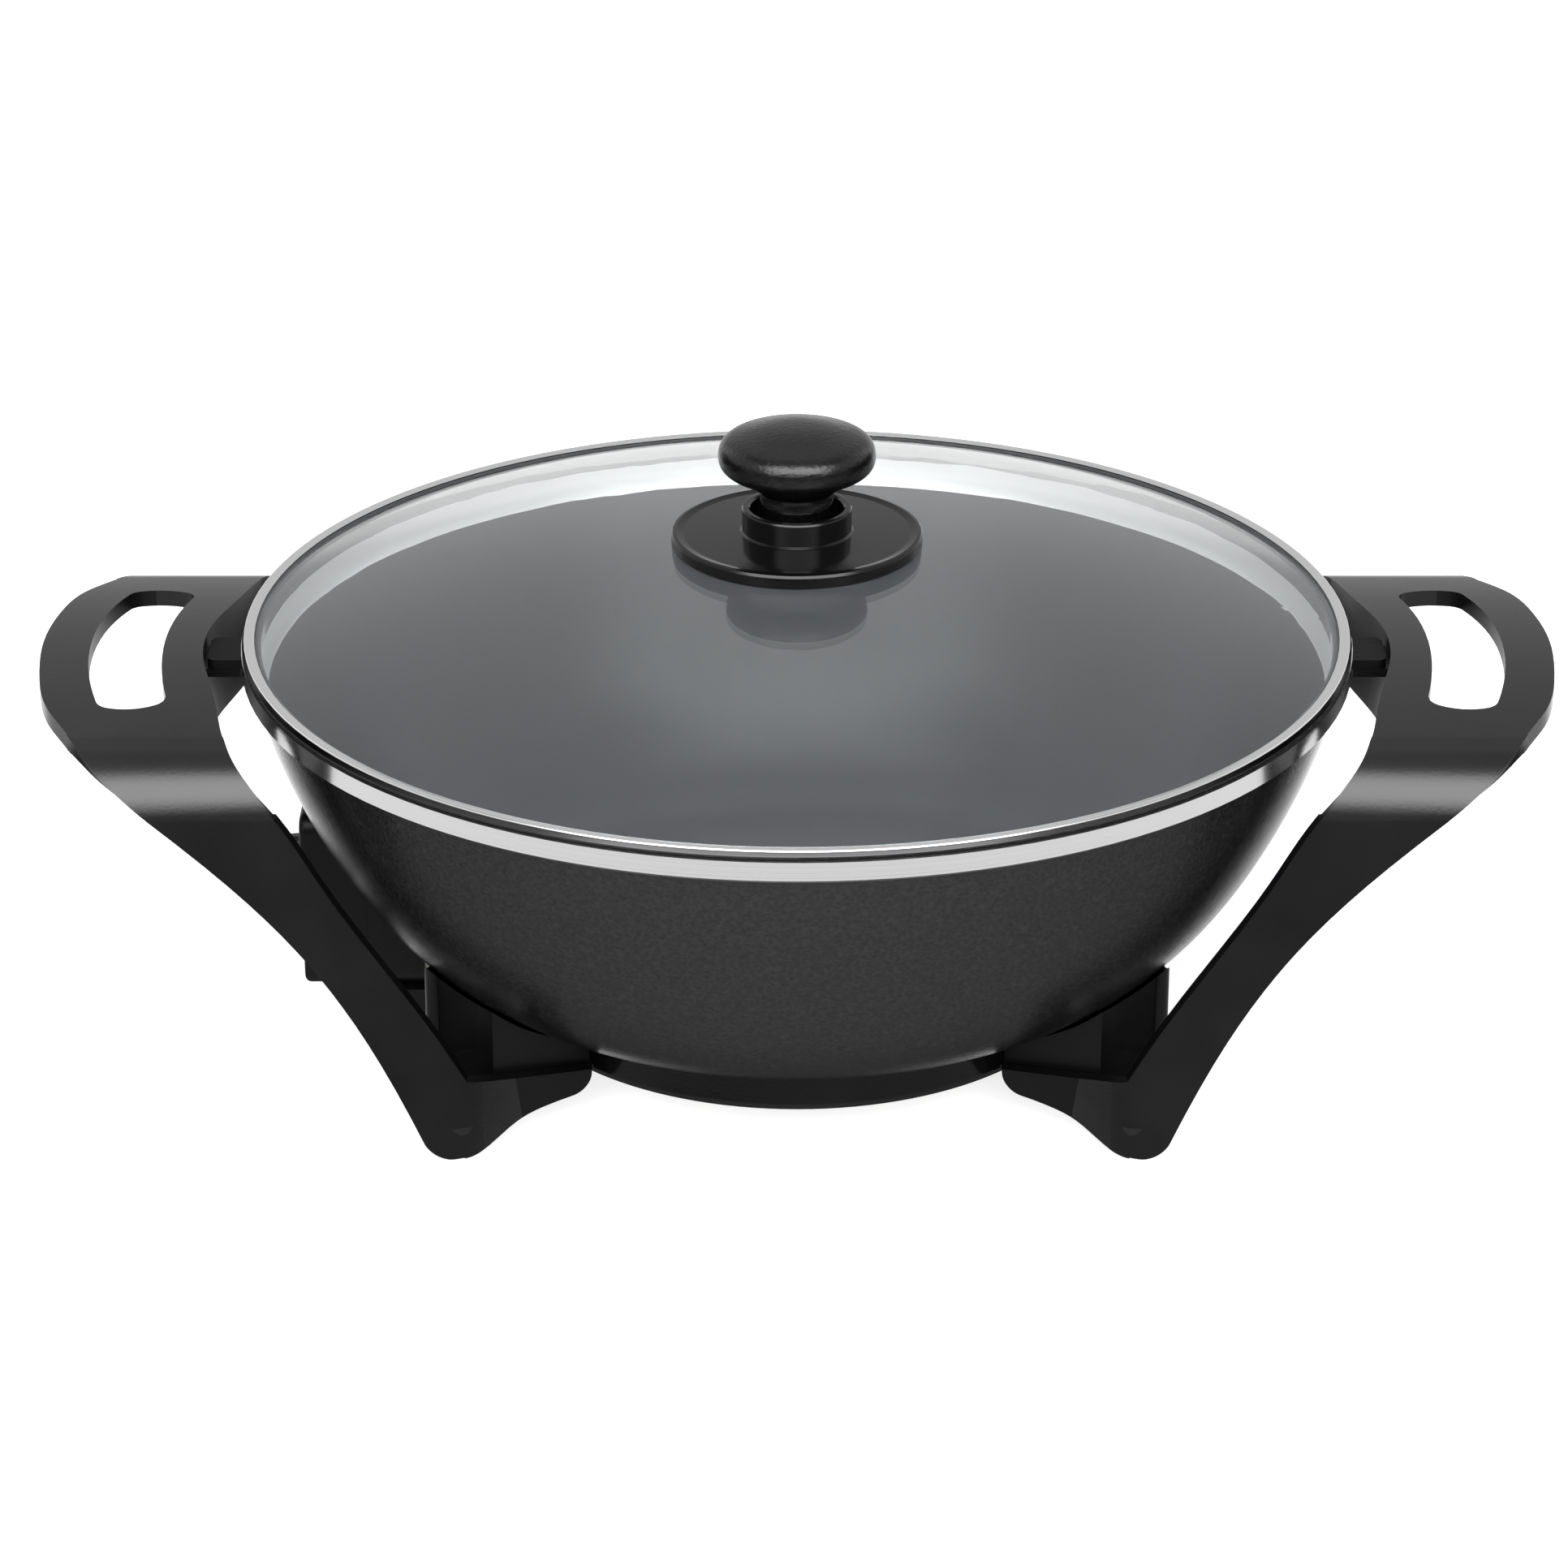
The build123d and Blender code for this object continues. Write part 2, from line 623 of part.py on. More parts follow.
# ---- plug-in temperature control ----
block_half_width = 14.0
block_bottom = 18.4
block_top = 26.6
control_screw_points = [(-12.2, 32.5), (12.2, 32.5)]
control_middle = (control_bottom + control_top) / 2
control_height = control_top - control_bottom
screw_seat = -121.0         # where the heads of the case's screws rest


def control_space(inset, envelope):
    """The control's case as a solid, made smaller by an inset on every side."""
    with BuildPart() as space:
        with BuildSketch(Plane.YZ.offset(control_outer + inset)):
            with Locations((0, control_middle)):
                RectangleRounded(2 * (control_half_width - inset), control_height - 2 * inset,
                                 5 - inset)
        extrude(amount=control_inner - control_outer - 2 * inset)
        if inset == 0:
            fillet(space.faces().filter_by(Plane.YZ).sort_by(Axis.X)[0].edges(), 1.8)
        add(envelope, mode=Mode.SUBTRACT)
    return space.part


control_outside = control_space(0, control_envelope)
control_inside = control_space(control_wall, bowl_envelope(control_clearance + 1.4 * control_wall))
with BuildPart() as control_case:
    add(control_outside)
    add(control_inside, mode=Mode.SUBTRACT)
    # Screw bosses.
    with BuildSketch(Plane.YZ.offset(control_outer + 1)):
        with Locations(*control_screw_points):
            Circle(3.6)
    extrude(amount=control_inner - control_outer - 1)
    add(control_envelope, mode=Mode.SUBTRACT)
    with BuildSketch(Plane.YZ.offset(control_outer + 4)):
        with Locations(*control_screw_points):
            Circle(1.2)
    extrude(amount=50, mode=Mode.SUBTRACT)

with BuildPart() as control_housing:
    add(control_case.part)
    split(bisect_by=Plane.YZ.offset(control_split - 0.05), keep=Keep.BOTTOM)
    # Bearing boss and bore of the dial's shaft, and the seat of the lamp's lens.
    with BuildSketch(Plane.YZ.offset(control_outer + 1)):
        with Locations((0, dial_height)):
            Circle(5)
    extrude(amount=5)
    with BuildSketch(Plane.YZ.offset(control_outer - 1)):
        with Locations((0, dial_height)):
            Circle(shaft_radius + 0.05)
        with Locations((0, lamp_height)):
            Circle(2.75)
    extrude(amount=8, mode=Mode.SUBTRACT)
    # Hole for the cord's gland in the back wall.
    with BuildSketch(Plane.XZ.offset(-control_half_width - 1)):
        with Locations(gland_center):
            Circle(5.55)
    extrude(amount=5, mode=Mode.SUBTRACT)
finish(control_housing, "control_housing")

with BuildPart() as control_cover:
    add(control_case.part)
    split(bisect_by=Plane.YZ.offset(control_split), keep=Keep.TOP)
    with BuildSketch(Plane.YZ.offset(control_split - 1)):
        with Locations(*control_screw_points):
            Circle(1.5)
    extrude(amount=12, mode=Mode.SUBTRACT)
    with BuildSketch(Plane.YZ.offset(screw_seat)):
        with Locations(*control_screw_points):
            Circle(2.8)
    extrude(amount=10, mode=Mode.SUBTRACT)
    # Opening that the contact block looks out of.
    with BuildSketch(Plane.YZ.offset(control_split)):
        with Locations((0, (block_bottom + block_top) / 2)):
            Rectangle(2 * block_half_width + 0.1, block_top - block_bottom + 0.1)
    extrude(amount=20, mode=Mode.SUBTRACT)
finish(control_cover, "control_cover")

screw_plane = Plane(origin=(screw_seat, 0, 0), x_dir=(0, -1, 0), z_dir=(-1, 0, 0))
control_screws = screws(screw_plane, [(-y, z) for y, z in control_screw_points], 2.6, 1.5, 1.15,
                        22.0)
finish(control_screws, "control_screws")

sleeve_bore = pin_radius + 0.35
sleeve_outer = 3.3
with BuildPart() as contact_block:
    with BuildSketch(Plane.YZ.offset(-128)):
        with Locations((0, (block_bottom + block_top) / 2)):
            Rectangle(2 * block_half_width, block_top - block_bottom)
        with Locations((0, probe_height)):
            Circle(probe_radius + 0.05, mode=Mode.SUBTRACT)
    extrude(amount=21.8)
    with BuildSketch(Plane.YZ.offset(-106.2)):
        with Locations((-half_spacing, pin_height), (half_spacing, pin_height)):
            Circle(sleeve_outer + 0.05)
    extrude(amount=-20, mode=Mode.SUBTRACT)
finish(contact_block, "contact_block")

with BuildPart() as contact_sleeves:
    with BuildSketch(Plane.YZ.offset(-125.5)):
        with Locations((-half_spacing, pin_height), (half_spacing, pin_height)):
            Circle(sleeve_outer)
            Circle(sleeve_bore, mode=Mode.SUBTRACT)
    extrude(amount=18)
finish(contact_sleeves, "contact_sleeves")

probe_back = -131.0
probe_tip = -55.0
with BuildPart() as thermostat_probe:
    with BuildSketch(Plane.YZ.offset(probe_back)):
        with Locations((0, probe_height)):
            Circle(probe_radius)
    extrude(amount=probe_tip - probe_back)
    fillet(faces().filter_by(Plane.YZ).group_by(Axis.X)[-1].edges(), 1.6)
    with BuildSketch(Plane.YZ.offset(probe_back)):
        with Locations((0, probe_height)):
            Circle(3.0)
    extrude(amount=2.2)
finish(thermostat_probe, "thermostat_probe")

# Spring strip that the shaft's end presses on, with its contact button.
with BuildPart() as thermostat_blade:
    with BuildSketch(Plane.XZ.offset(3)):
        with BuildLine():
            FilletPolyline((-131.6, 29), (-131.6, 34), (-139.4, 39), (-139.4, 50), radius=2)
            offset(amount=0.5, side=Side.RIGHT)
        make_face()
    extrude(amount=-6)
    with BuildSketch(Plane.YZ.offset(-139.5)):
        with Locations((0, 48.5)):
            Circle(1.6)
    extrude(amount=1.5)
    with BuildSketch(Plane.XY.offset(block_top + 0.1)):
        with Locations((-130.5, 0)):
            Rectangle(5, 12)
    extrude(amount=3)
finish(thermostat_blade, "thermostat_blade")

with BuildPart() as lamp_lens:
    with BuildSketch(Plane.YZ.offset(control_outer - 0.6)):
        with Locations((0, lamp_height)):
            Circle(2.7)
    extrude(amount=3.4)
    fillet(faces().filter_by(Plane.YZ).group_by(Axis.X)[0].edges(), 1.2)
    with BuildSketch(Plane.YZ.offset(control_outer + control_wall + 0.05)):
        with Locations((0, lamp_height)):
            Circle(3.6)
    extrude(amount=1)
finish(lamp_lens, "lamp_lens")

with BuildPart() as pilot_lamp:
    with BuildSketch(Plane.YZ.offset(-145.6)):
        with Locations((0, lamp_height)):
            Circle(2.2)
    extrude(amount=9)
    fillet(faces().filter_by(Plane.YZ).edges(), 1)
finish(pilot_lamp, "pilot_lamp")

gland_plane = Plane.XZ.offset(-control_half_width + 3)
with BuildPart() as cord_gland:
    with BuildSketch(gland_plane):
        with Locations(gland_center):
            Circle(5.5)
            Circle(cord_bore, mode=Mode.SUBTRACT)
    extrude(amount=-6.9)
    with BuildSketch(Plane.XZ.offset(-control_half_width - 0.1)):
        with Locations(gland_center):
            Circle(6.6)
            Circle(cord_bore, mode=Mode.SUBTRACT)
    extrude(amount=-1.5)
finish(cord_gland, "cord_gland")

# ---- dial ----
dial_back = control_outer - 0.4
dial_depth = 5.6
with BuildPart() as dial:
    with BuildSketch(Plane.YZ.offset(dial_back)):
        with Locations((0, dial_height)):
            Circle(dial_radius)
            with PolarLocations(dial_radius + 0.9, 24):
                Circle(1.5, mode=Mode.SUBTRACT)
    extrude(amount=-dial_depth, taper=4)
    # Grip bar across the face.
    with BuildSketch(Plane.YZ.offset(dial_back - dial_depth)):
        with Locations((0, dial_height)):
            Circle(dial_radius - 3.5)
            RectangleRounded(5.0, 21, 2.4, mode=Mode.SUBTRACT)
    extrude(amount=2.4, mode=Mode.SUBTRACT)
    with BuildSketch(Plane.YZ.offset(dial_back)):
        with Locations((0, dial_height)):
            Circle(shaft_radius + 0.01)
    extrude(amount=-3, mode=Mode.SUBTRACT)
finish(dial, "dial")

shaft_end = -140.4
with BuildPart() as dial_shaft:
    with BuildSketch(Plane.YZ.offset(dial_back - 2.9)):
        with Locations((0, dial_height)):
            Circle(shaft_radius)
    extrude(amount=shaft_end - dial_back + 2.9)
    with BuildSketch(Plane.YZ.offset(shaft_end - 1.6)):
        with Locations((0, dial_height)):
            Circle(5)
    extrude(amount=1.6)
finish(dial_shaft, "dial_shaft")

# ---- lid ----
glass_edge = 160.0
edge_top = 129.0
dome_rise = glass_top - edge_top
dome_radius = (glass_edge ** 2 + dome_rise ** 2) / (2 * dome_rise)


def dome_height(radius):
    """Height of the glass's upper surface at a radius."""
    return glass_top - dome_radius + math.sqrt(dome_radius ** 2 - radius ** 2)


half_edge = glass_edge / 2
screw_hole = 3.0
with BuildPart() as lid_glass:
    with BuildSketch(Plane.XZ):
        with BuildLine():
            ThreePointArc((screw_hole, dome_height(screw_hole)),
                          (half_edge, dome_height(half_edge)), (glass_edge, edge_top))
            Polyline((glass_edge, edge_top), (162.6, edge_top - 0.3), (162.9, edge_top - 1.2),
                     (162.6, edge_top - 2.3), (glass_edge - 0.4, edge_top - 2.6))
            ThreePointArc((glass_edge - 0.4, edge_top - 2.6),
                          (half_edge, dome_height(half_edge) - glass_thickness),
                          (screw_hole, dome_height(screw_hole) - glass_thickness))
            Line((screw_hole, dome_height(screw_hole) - glass_thickness),
                 (screw_hole, dome_height(screw_hole)))
        make_face()
    revolve(axis=Axis.Z)
finish(lid_glass, "lid_glass")

with BuildPart() as lid_rim:
    # Rolled steel band, open inwards, stepped so that its lower half stands in the bowl's rebate.
    with BuildSketch(Plane.XZ):
        with BuildLine():
            FilletPolyline((161.0, rim_top - 0.35), (162.6, rim_top), (rim_radius - 1.0, rim_top),
                           (rim_radius, 127.4), (163.6, 127.4), (163.6, 125.4), (158.6, 125.4),
                           radius=0.6)
            offset(amount=0.45, side=Side.RIGHT)
        make_face()
    revolve(axis=Axis.Z)
finish(lid_rim, "lid_rim")

with BuildPart() as lid_gasket:
    with BuildSketch(Plane.XZ):
        with BuildLine():
            Polyline((160.5, 129.05), (162.6, 129.45), (163.4, 129.45), (163.9, 127.95),
                     (163.05, 127.95),
                     (163.05, 125.95), (158.9, 125.95), (159.3, 126.3), (159.8, 126.3),
                     (162.7, 126.6), (163.0, 127.8), (162.7, 128.8), (160.5, 128.98), close=True)
        make_face()
    revolve(axis=Axis.Z)
finish(lid_gasket, "lid_gasket")

skirt_radius = 37.25
collar_radius = 16.25
neck_radius = 11.0
knob_floor = glass_top + 0.6
with BuildPart() as knob_base:
    with BuildSketch(Plane.XZ):
        with BuildLine():
            under = ThreePointArc((13, knob_floor), (26, dome_height(26) + 0.5),
                                  (skirt_radius - 0.8, dome_height(skirt_radius) + 0.4))
            Polyline(under @ 1, (skirt_radius, dome_height(skirt_radius) + 1.2),
                     (skirt_radius, 157.6), (skirt_radius - 0.5, 158.3), (skirt_radius - 1.4, 158.5),
                     (skirt_radius - 2.6, 158.2), (skirt_radius - 3.6, 158.0),
                     (collar_radius + 0.6, 158.6), (collar_radius, 159.2), (collar_radius, 165.4),
                     (collar_radius - 0.3, 165.9), (collar_radius - 0.8, 166),
                     (collar_radius - 1.9, 166), (collar_radius - 2.4, 165.5),
                     (collar_radius - 2.4, 159.5), (screw_hole, 159.5), (screw_hole, knob_floor),
                     (13, knob_floor))
        make_face()
    revolve(axis=Axis.Z)
finish(knob_base, "knob_base")

with BuildPart() as knob_seal:
    with BuildSketch(Plane.XY.offset(glass_top + 0.02)):
        Circle(12)
        Circle(screw_hole, mode=Mode.SUBTRACT)
    extrude(amount=0.56)
finish(knob_seal, "knob_seal")

knob_half_height = 9.6
cap_bottom = knob_center - knob_half_height
with BuildPart() as knob_cap:
    with BuildSketch(Plane.XZ):
        with BuildLine():
            top = Spline((0, knob_center + knob_half_height), (16.5, knob_center + 6.8),
                         (knob_radius, knob_center), tangents=[(1, 0), (0, -1)])
            under = Spline(top @ 1, (16.5, knob_center - 6.8), (neck_radius + 0.6, cap_bottom - 0.6),
                           tangents=[(0, -1), (-1, -0.6)])
            flare = Spline(under @ 1, (neck_radius, cap_bottom - 3), tangents=[(-1, -0.6), (0, -1)])
            Polyline(flare @ 1, (neck_radius, 159.55), (2.5, 159.55), (2.5, 177), (0, 177), top @ 0)
        make_face()
    revolve(axis=Axis.Z)
finish(knob_cap, "knob_cap")

washer_top = dome_height(7) - glass_thickness - 0.05
with BuildPart() as knob_washer:
    with BuildSketch(Plane.XY.offset(washer_top - 1)):
        Circle(7)
        Circle(2.7, mode=Mode.SUBTRACT)
    extrude(amount=1)
finish(knob_washer, "knob_washer")

knob_screw = screws(Plane.XY.offset(washer_top - 1), [(0, 0)], 4.8, 2.8, 2.45, 24.0)
finish(knob_screw, "knob_screw")
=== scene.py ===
import json
import math

import bmesh
import bpy
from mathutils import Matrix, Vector


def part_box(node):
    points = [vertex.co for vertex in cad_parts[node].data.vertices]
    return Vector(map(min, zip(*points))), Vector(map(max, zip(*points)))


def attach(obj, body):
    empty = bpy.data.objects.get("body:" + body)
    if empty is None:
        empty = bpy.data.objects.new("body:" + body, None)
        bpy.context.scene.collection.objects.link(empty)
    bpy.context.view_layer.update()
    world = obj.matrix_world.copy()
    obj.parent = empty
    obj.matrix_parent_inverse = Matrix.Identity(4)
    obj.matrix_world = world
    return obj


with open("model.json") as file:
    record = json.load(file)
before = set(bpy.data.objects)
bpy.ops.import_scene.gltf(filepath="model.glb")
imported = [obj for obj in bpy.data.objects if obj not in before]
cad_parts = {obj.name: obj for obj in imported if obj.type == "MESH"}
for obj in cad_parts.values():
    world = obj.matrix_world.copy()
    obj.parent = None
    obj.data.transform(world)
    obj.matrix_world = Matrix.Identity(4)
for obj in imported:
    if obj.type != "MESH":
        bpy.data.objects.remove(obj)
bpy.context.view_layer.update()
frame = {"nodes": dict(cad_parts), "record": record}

MM = 0.001
scene = bpy.context.scene
scene.view_settings.view_transform = "Standard"

# ---- sizes and places read from the frame ----
pan_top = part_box("pan_body")[1][2]
rim_radius, _, rim_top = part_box("lid_rim")[1]
knob_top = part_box("knob_cap")[1][2]
yoke_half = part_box("yoke_left")[1][1]         # half the yoke's width
dial_low, dial_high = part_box("dial")
housing_low, housing_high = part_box("control_housing")

# ---- where the surfaces change, measured from those ----
band_bottom = pan_top - 6.3 * MM              # lower edge of the bowl's bare rim band
coat_edge = pan_top - 14.0 * MM               # the inner coat ends here, under the rim
inner_wall = rim_radius - 1.4 * MM            # the bowl's inner side lies within this radius
lug_start = rim_radius + 0.3 * MM             # the bowl's lugs begin beyond this radius
face_top = rim_top - 0.5 * MM                 # upper edge of the steel band's outer face, painted dark as a reflection of dark surroundings
gap_shadow_top = rim_top - 1.75 * MM                # upper edge of the painted shadow line under that face
neck_top = knob_top - 19.6 * MM               # the knob's smooth neck lies below
shaded_half = yoke_half + 1.3 * MM            # parts under the bowl with painted shade (a matt copy of the satin) reach this far in Y
shaded_top = housing_high[2] + 3.0 * MM       # and up to here


# ---- camera ----
def make_camera():
    """The photograph's view, from the front and above, with the horizon level."""
    distance = 1.5                            # to the centre of the rim
    sight = math.radians(22.26)               # how far the centre of the rim lies below the eye
    pitch = math.radians(24.14)               # how far the camera is tipped down
    left = 3.8 * MM                           # the eye stands a little left of the middle
    data = bpy.data.cameras.new("camera")
    data.sensor_width = 36.0
    data.lens = 115.5
    data.clip_end = 50.0
    camera = bpy.data.objects.new("camera", data)
    camera.location = (-left, -distance * math.cos(sight), rim_top + distance * math.sin(sight))
    camera.rotation_euler = (math.pi / 2 - pitch, 0, 0)
    scene.collection.objects.link(camera)
    scene.camera = camera


# ---- node helpers ----
class Nodes:
    """A short way to build the nodes of a new material, or of a new world."""

    def __init__(self, name, blocks=bpy.data.materials, output="ShaderNodeOutputMaterial"):
        self.owner = blocks.new(name)
        self.owner.use_nodes = True
        self.tree = self.owner.node_tree
        self.tree.nodes.clear()
        self.output = self.add(output)

    def add(self, kind, **settings):
        node = self.tree.nodes.new(kind)
        for key, value in settings.items():
            setattr(node, key, value)
        return node

    def link(self, source, target):
        self.tree.links.new(source, target)

    def place(self):
        return self.add("ShaderNodeTexCoord").outputs["Object"]

    def split(self, vector):
        """The X, Y and Z of a vector."""
        node = self.add("ShaderNodeSeparateXYZ")
        self.link(vector, node.inputs[0])
        return node.outputs

    def radius(self, x, y):
        """The length of the vector that has these two parts."""
        return self.math("SQRT", self.math("ADD", self.math("MULTIPLY", x, x),
                                           self.math("MULTIPLY", y, y)))

    def turned(self, radius, height):
        """Coordinates that are the same all the way round the Z axis."""
        node = self.add("ShaderNodeCombineXYZ")
        self.link(radius, node.inputs[0])
        self.link(height, node.inputs[1])
        return node.outputs[0]

    def math(self, operation, first, second=None):
        node = self.add("ShaderNodeMath", operation=operation)
        for index, value in enumerate((first, second)):
            if value is None:
                continue
            if isinstance(value, (int, float)):
                node.inputs[index].default_value = value
            else:
                self.link(value, node.inputs[index])
        return node.outputs[0]

    def noise(self, vector, scale, detail=2.0, roughness=0.5, stretch=None):
        if stretch is not None:
            mapping = self.add("ShaderNodeMapping")
            mapping.inputs["Scale"].default_value = stretch
            self.link(vector, mapping.inputs["Vector"])
            vector = mapping.outputs[0]
        node = self.add("ShaderNodeTexNoise")
        node.inputs["Scale"].default_value = scale
        node.inputs["Detail"].default_value = detail
        node.inputs["Roughness"].default_value = roughness
        self.link(vector, node.inputs["Vector"])
        return node.outputs["Fac"]

    def cells(self, vector, scale):
        node = self.add("ShaderNodeTexVoronoi", feature="SMOOTH_F1")
        node.inputs["Scale"].default_value = scale
        self.link(vector, node.inputs["Vector"])
        return node.outputs["Distance"]

    def ramp(self, value, low, high, from_low=0.0, from_high=1.0, shape="LINEAR"):
        """From low to high as the value goes from from_low to from_high."""
        node = self.add("ShaderNodeMapRange", interpolation_type=shape)
        self.link(value, node.inputs["Value"])
        node.inputs["From Min"].default_value = from_low
        node.inputs["From Max"].default_value = from_high
        node.inputs["To Min"].default_value = low
        node.inputs["To Max"].default_value = high
        return node.outputs[0]

    def tint(self, value, dark, light):
        node = self.add("ShaderNodeMix", data_type="RGBA")
        self.link(value, node.inputs["Factor"])
        node.inputs[6].default_value = (*dark, 1)     # colour A
        node.inputs[7].default_value = (*light, 1)    # colour B
        return node.outputs[2]                        # the colour result

    def bump(self, height, distance):
        node = self.add("ShaderNodeBump")
        node.inputs["Distance"].default_value = distance
        self.link(height, node.inputs["Height"])
        return node.outputs[0]

    def surface(self, color=None, rough=None, normal=None, **values):
        node = self.add("ShaderNodeBsdfPrincipled")
        for key, value in values.items():
            node.inputs[key.replace("_", " ")].default_value = value
        for key, value in (("Base Color", color), ("Roughness", rough), ("Normal", normal)):
            if isinstance(value, tuple):
                node.inputs[key].default_value = (*value, 1)
            elif isinstance(value, float):
                node.inputs[key].default_value = value
            elif value is not None:
                self.link(value, node.inputs[key])
        return node.outputs[0]

    def mix(self, factor, first, second):
        node = self.add("ShaderNodeMixShader")
        self.link(factor, node.inputs[0])
        self.link(first, node.inputs[1])
        self.link(second, node.inputs[2])
        return node.outputs[0]

    def done(self, shader):
        self.link(shader, self.output.inputs["Surface"])
        return self.owner


# ---- materials ----
def polished_metal(nodes, color, rough):
    """Turned or rolled metal: fine lines round the Z axis and a few soft smudges."""
    place = nodes.place()
    x, y, z = nodes.split(place)
    lines = nodes.noise(nodes.turned(nodes.radius(x, y), z), 900.0, 3.0, 0.6)
    smudge = nodes.noise(place, 28.0, 3.0)
    roughness = nodes.math("ADD", nodes.ramp(lines, -0.03, 0.04),
                           nodes.ramp(smudge, rough, rough + 0.07, 0.35, 0.75))
    normal = nodes.bump(lines, 0.02 * MM)
    return nodes.surface(color, roughness, normal, Metallic=1.0)


def pan_material():
    """Cast bowl: leathery charcoal coat outside, smooth coat inside, bare metal at the rim."""
    nodes = Nodes("pan_coat")
    coord = nodes.add("ShaderNodeTexCoord")
    place = coord.outputs["Object"]
    x, y, z = nodes.split(place)
    radius = nodes.radius(x, y)
    upward = nodes.split(coord.outputs["Normal"])[2]

    # Outside: a fine leathery coat; on the cast lugs, painted shade: a darker, duller, less
    # reflective copy of the coat.
    wrinkle = nodes.noise(place, 900.0, 3.0, 0.6, (1.0, 1.0, 2.6))
    pits = nodes.cells(place, 780.0)
    broad = nodes.noise(place, 9.0, 2.0)
    relief = nodes.math("ADD", wrinkle, nodes.math("MULTIPLY", pits, 0.5))
    shade = nodes.tint(nodes.ramp(relief, 0, 1, 0.55, 0.95), (0.0010, 0.0010, 0.0011),
                       (0.009, 0.009, 0.0094))
    skin = nodes.surface(shade, nodes.ramp(broad, 0.15, 0.20, 0.3, 0.7),
                         nodes.bump(relief, 0.07 * MM), IOR=1.58)
    # painted shade: the lugs' copy of the coat, darker and less reflective
    shaded_lug = nodes.surface((0.002, 0.002, 0.002), nodes.ramp(broad, 0.5, 0.6, 0.3, 0.7),
                        nodes.bump(relief, 0.10 * MM), IOR=1.22)
    outside = nodes.mix(nodes.math("GREATER_THAN", radius, lug_start), skin, shaded_lug)

    # Inside: a smooth non-stick coat.
    fine = nodes.noise(place, 1400.0, 2.0)
    cloud = nodes.noise(place, 14.0, 4.0)
    inside = nodes.surface(nodes.tint(cloud, (0.009, 0.010, 0.012), (0.014, 0.015, 0.018)),
                           nodes.ramp(cloud, 0.36, 0.41, 0.3, 0.7),
                           nodes.bump(fine, 0.008 * MM), IOR=1.4)

    # At the rim: bare metal, with turning lines that run round at each height.
    rings = nodes.turned(radius, z)
    lines = nodes.noise(rings, 900.0, 3.0, 0.6)
    coarse = nodes.noise(rings, 230.0, 2.0)
    band = nodes.surface((0.94, 0.94, 0.945), nodes.ramp(lines, 0.11, 0.16),
                         nodes.bump(lines, 0.015 * MM), Metallic=1.0)
    flare = nodes.surface(nodes.tint(coarse, (0.88, 0.88, 0.885), (0.98, 0.98, 0.985)),
                          nodes.ramp(coarse, 0.38, 0.48, 0.35, 0.7),
                          nodes.bump(coarse, 0.06 * MM), Metallic=1.0)

    in_bowl = nodes.math("MULTIPLY", nodes.math("GREATER_THAN", upward, 0.02),
                         nodes.math("LESS_THAN", radius, inner_wall))
    inner = nodes.mix(nodes.math("GREATER_THAN", z, coat_edge), inside, flare)
    in_band = nodes.math("MULTIPLY", nodes.math("GREATER_THAN", z, band_bottom),
                         nodes.math("LESS_THAN", radius, lug_start))
    outer = nodes.mix(in_band, outside, band)
    return nodes.done(nodes.mix(in_bowl, outer, inner))


def plastic_material(name, dark, light, rough, grain=900.0, depth=0.03, wear=0.06, ior=1.5):
    """Moulded phenolic: fine even grain, soft cloudiness in colour and gloss."""
    nodes = Nodes(name)
    place = nodes.place()
    fine = nodes.noise(place, grain, 2.0)
    cloud = nodes.noise(place, 22.0, 3.0)
    streak = nodes.noise(place, 40.0, 2.0, 0.5, (1.0, 1.0, 0.15))
    tone = nodes.math("ADD", nodes.math("MULTIPLY", cloud, 0.7),
                      nodes.math("MULTIPLY", streak, 0.3))
    return nodes.done(nodes.surface(nodes.tint(nodes.ramp(tone, 0, 1, 0.3, 0.7), dark, light),
                                    nodes.ramp(tone, rough, rough + wear, 0.3, 0.7),
                                    nodes.bump(fine, depth * MM), IOR=ior))


def handle_material():
    """Handles, yokes and control: satin phenolic; where it faces the bowl or lies under it, painted
    shade: a matt, less reflective copy.
    """
    nodes = Nodes("satin_black")
    coord = nodes.add("ShaderNodeTexCoord")
    place = coord.outputs["Object"]
    flat = nodes.add("ShaderNodeVectorMath", operation="MULTIPLY")
    nodes.link(place, flat.inputs[0])
    flat.inputs[1].default_value = (1, 1, 0)
    outward = nodes.add("ShaderNodeVectorMath", operation="NORMALIZE")
    nodes.link(flat.outputs[0], outward.inputs[0])
    facing = nodes.add("ShaderNodeVectorMath", operation="DOT_PRODUCT")
    nodes.link(coord.outputs["Normal"], facing.inputs[0])
    nodes.link(outward.outputs[0], facing.inputs[1])
    inward = nodes.math("LESS_THAN", facing.outputs["Value"], -0.3)
    _, y, z = nodes.split(place)
    under = nodes.math("MULTIPLY",
                       nodes.math("LESS_THAN", nodes.math("ABSOLUTE", y), shaded_half),
                       nodes.math("LESS_THAN", z, shaded_top))
    fine = nodes.noise(place, 1000.0, 2.0)
    cloud = nodes.noise(place, 22.0, 3.0)
    shade = nodes.tint(nodes.ramp(cloud, 0, 1, 0.3, 0.7), (0.0015, 0.0015, 0.0016),
                       (0.0035, 0.0035, 0.0037))
    relief = nodes.bump(fine, 0.03 * MM)
    satin = nodes.surface(shade, nodes.ramp(cloud, 0.24, 0.28, 0.3, 0.7), relief, IOR=1.5)
    # painted shade: a matt, less reflective copy of the satin where it faces the bowl or lies under
    # it
    shaded_matt = nodes.surface(shade, nodes.ramp(cloud, 0.34, 0.42, 0.3, 0.7), relief, IOR=1.3)
    return nodes.done(nodes.mix(nodes.math("MAXIMUM", under, inward), satin, shaded_matt))


